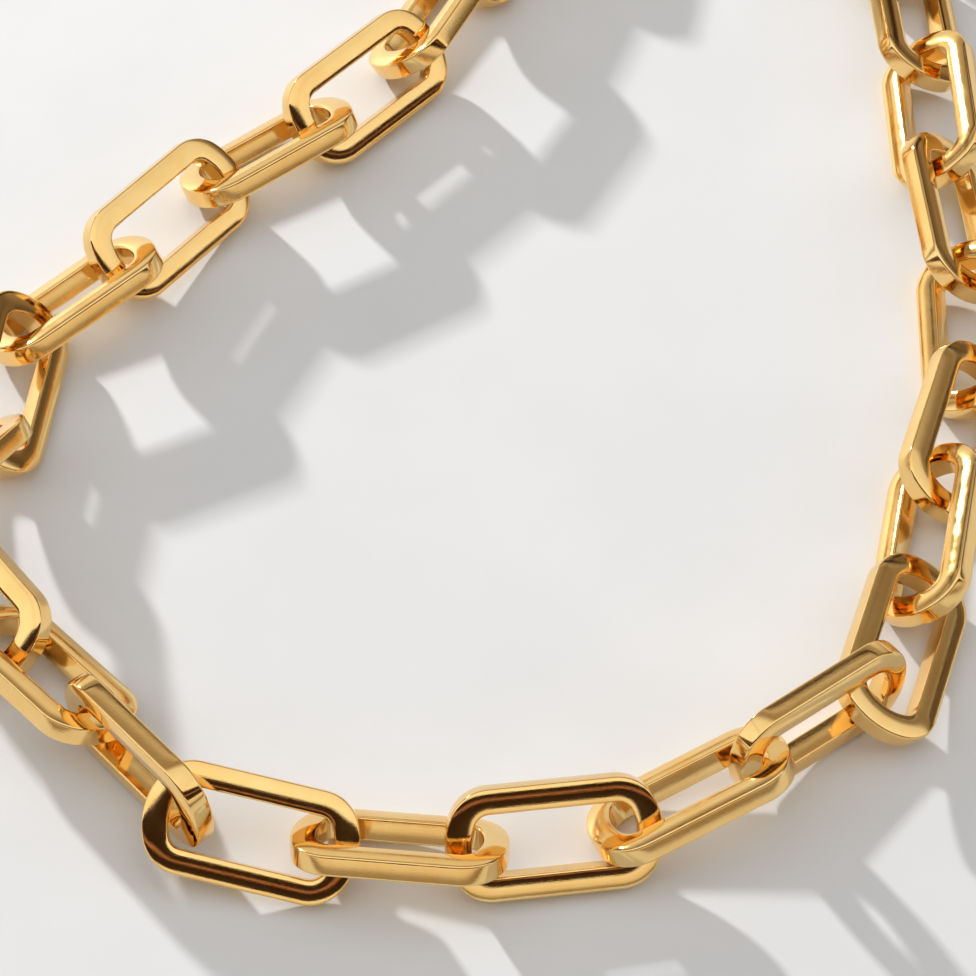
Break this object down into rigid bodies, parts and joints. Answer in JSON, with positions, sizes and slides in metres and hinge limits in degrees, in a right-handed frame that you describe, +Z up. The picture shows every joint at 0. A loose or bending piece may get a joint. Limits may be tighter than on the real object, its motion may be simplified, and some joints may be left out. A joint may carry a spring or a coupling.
{
  "type": "chain necklace",
  "caption": "Gold-coloured chain necklace of plain oblong links with a lobster clasp, laid out in an undone loop",
  "frame": {"origin": "centre of the footprint, at the level of the table the chain lies on", "axes": "+Z up from the table, +Y towards the clasp and the open ends, X across the loop"},
  "size_m": [0.1128, 0.188, 0.0127],
  "materials": {
    "link_metal": "polished yellow gold plate on brass",
    "clasp_metal": "polished yellow gold plate on brass",
    "spring_steel": "bright spring steel"
  },
  "bodies": {
    "link_01": {"link_01": "link_metal"},
    "link_02": {"link_02": "link_metal"},
    "link_03": {"link_03": "link_metal"},
    "link_04": {"link_04": "link_metal"},
    "link_05": {"link_05": "link_metal"},
    "link_06": {"link_06": "link_metal"},
    "link_07": {"link_07": "link_metal"},
    "link_08": {"link_08": "link_metal"},
    "link_09": {"link_09": "link_metal"},
    "link_10": {"link_10": "link_metal"},
    "link_11": {"link_11": "link_metal"},
    "link_12": {"link_12": "link_metal"},
    "link_13": {"link_13": "link_metal"},
    "link_14": {"link_14": "link_metal"},
    "link_15": {"link_15": "link_metal"},
    "link_16": {"link_16": "link_metal"},
    "link_17": {"link_17": "link_metal"},
    "link_18": {"link_18": "link_metal"},
    "link_19": {"link_19": "link_metal"},
    "link_20": {"link_20": "link_metal"},
    "link_21": {"link_21": "link_metal"},
    "link_22": {"link_22": "link_metal"},
    "link_23": {"link_23": "link_metal"},
    "link_24": {"link_24": "link_metal"},
    "link_25": {"link_25": "link_metal"},
    "link_26": {"link_26": "link_metal"},
    "link_27": {"link_27": "link_metal"},
    "link_28": {"link_28": "link_metal"},
    "link_29": {"link_29": "link_metal"},
    "link_30": {"link_30": "link_metal"},
    "jump_ring": {"jump_ring": "link_metal"},
    "clasp": {"clasp_body": "clasp_metal", "clasp_pin": "clasp_metal", "clasp_spring": "spring_steel"},
    "lever": {"clasp_lever": "clasp_metal"}
  },
  "joints": [
    {"name": "link_15_swing", "type": "hinge", "parent": "link_16", "child": "link_15", "pos_m": [-0.01371, -0.08758, 0.00376], "axis": [-0.1387, -0.7769, 0.6142], "range_deg": [-11, 40]},
    {"name": "link_14_swing", "type": "hinge", "parent": "link_15", "child": "link_14", "pos_m": [-0.02705, -0.08549, 0.00547], "axis": [-0.2331, -0.8457, -0.4801], "range_deg": [-25, 12]},
    {"name": "link_13_swing", "type": "hinge", "parent": "link_14", "child": "link_13", "pos_m": [-0.03484, -0.07416, 0.00495], "axis": [0.0295, -0.137, -0.9901], "range_deg": [-32, 5]},
    {"name": "link_12_swing", "type": "hinge", "parent": "link_13", "child": "link_12", "pos_m": [-0.04457, -0.06437, 0.00326], "axis": [0.6549, 0.5426, -0.526], "range_deg": [-27, 40]},
    {"name": "link_11_swing", "type": "hinge", "parent": "link_12", "child": "link_11", "pos_m": [-0.05216, -0.05491, 0.00391], "axis": [-0.6118, -0.5134, -0.6018], "range_deg": [-32, 36]},
    {"name": "link_10_swing", "type": "hinge", "parent": "link_11", "child": "link_10", "pos_m": [-0.0453, -0.04238, 0.00306], "axis": [0.7919, -0.1332, 0.596], "range_deg": [-40, 40]},
    {"name": "link_09_swing", "type": "hinge", "parent": "link_10", "child": "link_09", "pos_m": [-0.04328, -0.02894, 0.00445], "axis": [0.6754, -0.0949, -0.7314], "range_deg": [-40, 39]},
    {"name": "link_08_swing", "type": "hinge", "parent": "link_09", "child": "link_08", "pos_m": [-0.03219, -0.02163, 0.00488], "axis": [-0.4978, 0.6881, -0.5279], "range_deg": [-40, 40]},
    {"name": "link_07_swing", "type": "hinge", "parent": "link_08", "child": "link_07", "pos_m": [-0.02448, -0.01033, 0.00393], "axis": [-0.5577, 0.5105, 0.6545], "range_deg": [-40, 40]},
    {"name": "link_06_swing", "type": "hinge", "parent": "link_07", "child": "link_06", "pos_m": [-0.0128, -0.00261, 0.00411], "axis": [-0.4713, 0.7053, -0.5296], "range_deg": [-40, 40]},
    {"name": "link_05_swing", "type": "hinge", "parent": "link_06", "child": "link_05", "pos_m": [-0.00378, 0.00707, 0.00419], "axis": [0.5255, -0.5255, -0.6691], "range_deg": [-40, 40]},
    {"name": "link_04_swing", "type": "hinge", "parent": "link_05", "child": "link_04", "pos_m": [0.00163, 0.01962, 0.00428], "axis": [0.681, -0.3745, 0.6292], "range_deg": [-40, 40]},
    {"name": "link_03_swing", "type": "hinge", "parent": "link_04", "child": "link_03", "pos_m": [0.0073, 0.03201, 0.00408], "axis": [0.7103, -0.287, -0.6428], "range_deg": [-40, 40]},
    {"name": "link_02_swing", "type": "hinge", "parent": "link_03", "child": "link_02", "pos_m": [0.00918, 0.04499, 0.00391], "axis": [0.784, -0.1524, 0.6018], "range_deg": [-40, 40]},
    {"name": "link_01_swing", "type": "hinge", "parent": "link_02", "child": "link_01", "pos_m": [0.01088, 0.05804, 0.00397], "axis": [0.7783, -0.1233, -0.6157], "range_deg": [-40, 40]},
    {"name": "link_17_swing", "type": "hinge", "parent": "link_16", "child": "link_17", "pos_m": [0.00371, -0.08972, 0.00499], "axis": [-0.1387, -0.7769, 0.6142], "range_deg": [-40, 10]},
    {"name": "link_18_swing", "type": "hinge", "parent": "link_17", "child": "link_18", "pos_m": [0.01773, -0.08658, 0.00414], "axis": [0.079, -0.739, -0.669], "range_deg": [-10, 32]},
    {"name": "link_19_swing", "type": "hinge", "parent": "link_18", "child": "link_19", "pos_m": [0.02935, -0.07999, 0.00624], "axis": [-0.2687, 0.8001, -0.5364], "range_deg": [-40, 20]},
    {"name": "link_20_swing", "type": "hinge", "parent": "link_19", "child": "link_20", "pos_m": [0.0406, -0.07099, 0.00512], "axis": [-0.0259, 0.1532, 0.9879], "range_deg": [-27, 4]},
    {"name": "link_21_swing", "type": "hinge", "parent": "link_20", "child": "link_21", "pos_m": [0.04485, -0.05936, 0.00309], "axis": [-0.8215, 0.3261, 0.4677], "range_deg": [-40, 12]},
    {"name": "link_22_swing", "type": "hinge", "parent": "link_21", "child": "link_22", "pos_m": [0.04733, -0.04654, 0.00419], "axis": [-0.7269, 0.1545, -0.6691], "range_deg": [-40, 40]},
    {"name": "link_23_swing", "type": "hinge", "parent": "link_22", "child": "link_23", "pos_m": [0.05236, -0.03483, 0.00374], "axis": [-0.7713, 0.2762, 0.5735], "range_deg": [-40, 40]},
    {"name": "link_24_swing", "type": "hinge", "parent": "link_23", "child": "link_24", "pos_m": [0.05165, -0.02186, 0.00436], "axis": [0.8085, -0.0346, 0.5874], "range_deg": [-40, 40]},
    {"name": "link_25_swing", "type": "hinge", "parent": "link_24", "child": "link_25", "pos_m": [0.05008, -0.0079, 0.00453], "axis": [0.7706, 0.1031, -0.6289], "range_deg": [-40, 40]},
    {"name": "link_26_swing", "type": "hinge", "parent": "link_25", "child": "link_26", "pos_m": [0.04985, 0.00613, 0.00387], "axis": [0.7651, 0.0582, 0.6412], "range_deg": [-40, 40]},
    {"name": "link_27_swing", "type": "hinge", "parent": "link_26", "child": "link_27", "pos_m": [0.04839, 0.02012, 0.0035], "axis": [0.8473, 0.0407, -0.5296], "range_deg": [-40, 40]},
    {"name": "link_28_swing", "type": "hinge", "parent": "link_27", "child": "link_28", "pos_m": [0.04723, 0.03362, 0.00397], "axis": [0.785, 0.0687, 0.6157], "range_deg": [-40, 40]},
    {"name": "link_29_swing", "type": "hinge", "parent": "link_28", "child": "link_29", "pos_m": [0.04639, 0.04713, 0.00391], "axis": [0.7967, 0.0557, -0.6018], "range_deg": [-40, 40]},
    {"name": "link_30_swing", "type": "hinge", "parent": "link_29", "child": "link_30", "pos_m": [0.04443, 0.06008, 0.00397], "axis": [-0.7821, -0.096, -0.6157], "range_deg": [-40, 40]},
    {"name": "jump_ring_swing", "type": "hinge", "parent": "link_01", "child": "jump_ring", "pos_m": [0.01272, 0.07156, 0.00391], "axis": [-0.7909, 0.1111, -0.6018], "range_deg": [-40, 40]},
    {"name": "clasp_swing", "type": "hinge", "parent": "jump_ring", "child": "clasp", "pos_m": [0.01498, 0.07602, 0.00423], "axis": [0.3857, -0.0701, -0.9199], "range_deg": [-40, 40]},
    {"name": "lever_turn", "type": "hinge", "parent": "clasp", "child": "lever", "pos_m": [0.01467, 0.08211, 0.00302], "axis": [-0.017, -0.1207, -0.9925], "range_deg": [0, 22], "stiffness_Nm_per_rad": 0.02, "springref_deg": -20.05, "deforming": ["clasp_spring"]}
  ]
}
